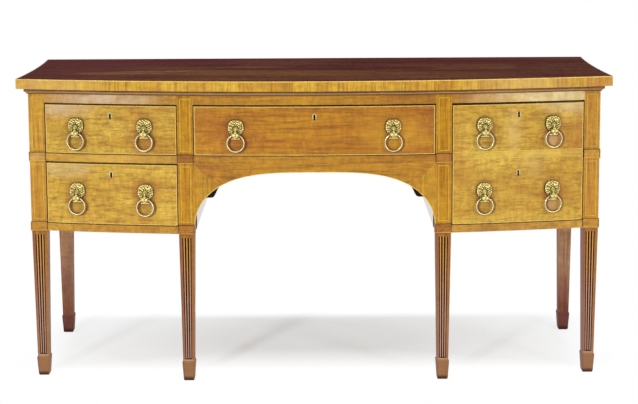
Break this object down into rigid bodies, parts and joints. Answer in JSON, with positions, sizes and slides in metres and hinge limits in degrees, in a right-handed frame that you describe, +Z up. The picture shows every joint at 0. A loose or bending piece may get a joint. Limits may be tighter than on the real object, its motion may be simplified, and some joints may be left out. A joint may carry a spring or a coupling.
{
  "type": "bow front sideboard",
  "caption": "Bow front sideboard with a shallow drawer over an arched kneehole, flanking drawers on reeded spade-foot legs, and ring handles hanging from masks.",
  "frame": {"origin": "on the floor, under the middle of the whole piece in length and in depth", "axes": "+X along the length, to the right of someone facing the drawers; the bowed front faces -Y; +Z up"},
  "size_m": [1.803, 0.708, 0.927],
  "materials": {
    "polished_top": "dark mahogany, french polished",
    "crossband": "golden crossbanded veneer, polished",
    "case_wood": "golden brown mahogany veneer, polished",
    "leg_wood": "red-brown mahogany, polished",
    "side_wood": "mahogany, polished",
    "pale_wood": "pale secondary wood, unfinished",
    "back_wood": "secondary wood, stained dark",
    "drawer_wood": "oak drawer linings, unfinished",
    "mask_brass": "cast brass, lacquered and worn pale",
    "lock_brass": "rolled brass, dull",
    "plate_bone": "bone, satin"
  },
  "bodies": {
    "carcase": {"top_board": "polished_top", "top_edge_band": "crossband", "under_moulding": "case_wood", "leg_front_left": "leg_wood", "leg_front_right": "leg_wood", "leg_inner_left": "leg_wood", "leg_inner_right": "leg_wood", "leg_back_left": "leg_wood", "leg_back_right": "leg_wood", "leg_collars": "leg_wood", "end_panels": "side_wood", "partitions": "pale_wood", "back_panel": "back_wood", "top_rails": "case_wood", "mid_rails": "case_wood", "bottom_rails": "case_wood", "arch_rail": "case_wood", "spandrels": "case_wood", "dust_boards": "drawer_wood", "drawer_runners": "drawer_wood", "drawer_guides": "drawer_wood", "glue_blocks": "drawer_wood"},
    "drawer_left_upper": {"left_upper_front": "case_wood", "left_upper_sides": "drawer_wood", "left_upper_bottom": "drawer_wood", "left_upper_masks": "mask_brass", "left_upper_lock": "lock_brass", "left_upper_plate": "plate_bone"},
    "drawer_left_lower": {"left_lower_front": "case_wood", "left_lower_sides": "drawer_wood", "left_lower_bottom": "drawer_wood", "left_lower_masks": "mask_brass", "left_lower_lock": "lock_brass", "left_lower_plate": "plate_bone"},
    "drawer_centre": {"centre_front": "case_wood", "centre_sides": "drawer_wood", "centre_bottom": "drawer_wood", "centre_masks": "mask_brass", "centre_lock": "lock_brass", "centre_plate": "plate_bone"},
    "drawer_deep": {"deep_front": "case_wood", "deep_sides": "drawer_wood", "deep_bottom": "drawer_wood", "deep_masks": "mask_brass", "deep_lock": "lock_brass", "deep_plates": "plate_bone"},
    "bolt_left_upper": {"bolt_left_upper": "lock_brass"},
    "bolt_left_lower": {"bolt_left_lower": "lock_brass"},
    "bolt_centre": {"bolt_centre": "lock_brass"},
    "bolt_deep": {"bolt_deep": "lock_brass"},
    "ring_left_upper_outer": {"ring_left_upper_outer": "mask_brass"},
    "ring_left_upper_inner": {"ring_left_upper_inner": "mask_brass"},
    "ring_left_lower_outer": {"ring_left_lower_outer": "mask_brass"},
    "ring_left_lower_inner": {"ring_left_lower_inner": "mask_brass"},
    "ring_centre_left": {"ring_centre_left": "mask_brass"},
    "ring_centre_right": {"ring_centre_right": "mask_brass"},
    "ring_deep_upper_inner": {"ring_deep_upper_inner": "mask_brass"},
    "ring_deep_upper_outer": {"ring_deep_upper_outer": "mask_brass"},
    "ring_deep_lower_inner": {"ring_deep_lower_inner": "mask_brass"},
    "ring_deep_lower_outer": {"ring_deep_lower_outer": "mask_brass"}
  },
  "joints": [
    {"name": "slide_left_upper", "type": "slide", "parent": "carcase", "child": "drawer_left_upper", "axis": [0, -1, 0], "range_m": [0, 0.4]},
    {"name": "slide_left_lower", "type": "slide", "parent": "carcase", "child": "drawer_left_lower", "axis": [0, -1, 0], "range_m": [0, 0.4]},
    {"name": "slide_centre", "type": "slide", "parent": "carcase", "child": "drawer_centre", "axis": [0, -1, 0], "range_m": [0, 0.4]},
    {"name": "slide_deep", "type": "slide", "parent": "carcase", "child": "drawer_deep", "axis": [0, -1, 0], "range_m": [0, 0.4]},
    {"name": "throw_bolt_left_upper", "type": "slide", "parent": "drawer_left_upper", "child": "bolt_left_upper", "axis": [0, 0, 1], "range_m": [0, 0.009]},
    {"name": "throw_bolt_left_lower", "type": "slide", "parent": "drawer_left_lower", "child": "bolt_left_lower", "axis": [0, 0, 1], "range_m": [0, 0.009]},
    {"name": "throw_bolt_centre", "type": "slide", "parent": "drawer_centre", "child": "bolt_centre", "axis": [0, 0, 1], "range_m": [0, 0.009]},
    {"name": "throw_bolt_deep", "type": "slide", "parent": "drawer_deep", "child": "bolt_deep", "axis": [0, 0, 1], "range_m": [0, 0.009]},
    {"name": "swing_ring_left_upper_outer", "type": "hinge", "parent": "drawer_left_upper", "child": "ring_left_upper_outer", "pos_m": [-0.72323, -0.2655, 0.763], "axis": [-0.9817, 0.1904, 0], "range_deg": [-11, 120]},
    {"name": "swing_ring_left_upper_inner", "type": "hinge", "parent": "drawer_left_upper", "child": "ring_left_upper_inner", "pos_m": [-0.5125, -0.30026, 0.763], "axis": [-0.9909, 0.135, 0], "range_deg": [-11, 120]},
    {"name": "swing_ring_left_lower_outer", "type": "hinge", "parent": "drawer_left_lower", "child": "ring_left_lower_outer", "pos_m": [-0.72323, -0.2655, 0.564], "axis": [-0.9817, 0.1904, 0], "range_deg": [-11, 120]},
    {"name": "swing_ring_left_lower_inner", "type": "hinge", "parent": "drawer_left_lower", "child": "ring_left_lower_inner", "pos_m": [-0.5125, -0.30026, 0.564], "axis": [-0.9909, 0.135, 0], "range_deg": [-11, 120]},
    {"name": "swing_ring_centre_left", "type": "hinge", "parent": "drawer_centre", "child": "ring_centre_left", "pos_m": [-0.23581, -0.32767, 0.763], "axis": [-0.9981, 0.0621, 0], "range_deg": [-11, 120]},
    {"name": "swing_ring_centre_right", "type": "hinge", "parent": "drawer_centre", "child": "ring_centre_right", "pos_m": [0.23581, -0.32767, 0.763], "axis": [-0.9981, -0.0621, 0], "range_deg": [-11, 120]},
    {"name": "swing_ring_deep_upper_inner", "type": "hinge", "parent": "drawer_deep", "child": "ring_deep_upper_inner", "pos_m": [0.5125, -0.30026, 0.763], "axis": [-0.9909, -0.135, 0], "range_deg": [-11, 120]},
    {"name": "swing_ring_deep_upper_outer", "type": "hinge", "parent": "drawer_deep", "child": "ring_deep_upper_outer", "pos_m": [0.72323, -0.2655, 0.763], "axis": [-0.9817, -0.1904, 0], "range_deg": [-11, 120]},
    {"name": "swing_ring_deep_lower_inner", "type": "hinge", "parent": "drawer_deep", "child": "ring_deep_lower_inner", "pos_m": [0.5125, -0.30026, 0.564], "axis": [-0.9909, -0.135, 0], "range_deg": [-11, 120]},
    {"name": "swing_ring_deep_lower_outer", "type": "hinge", "parent": "drawer_deep", "child": "ring_deep_lower_outer", "pos_m": [0.72323, -0.2655, 0.564], "axis": [-0.9817, -0.1904, 0], "range_deg": [-11, 120]}
  ]
}
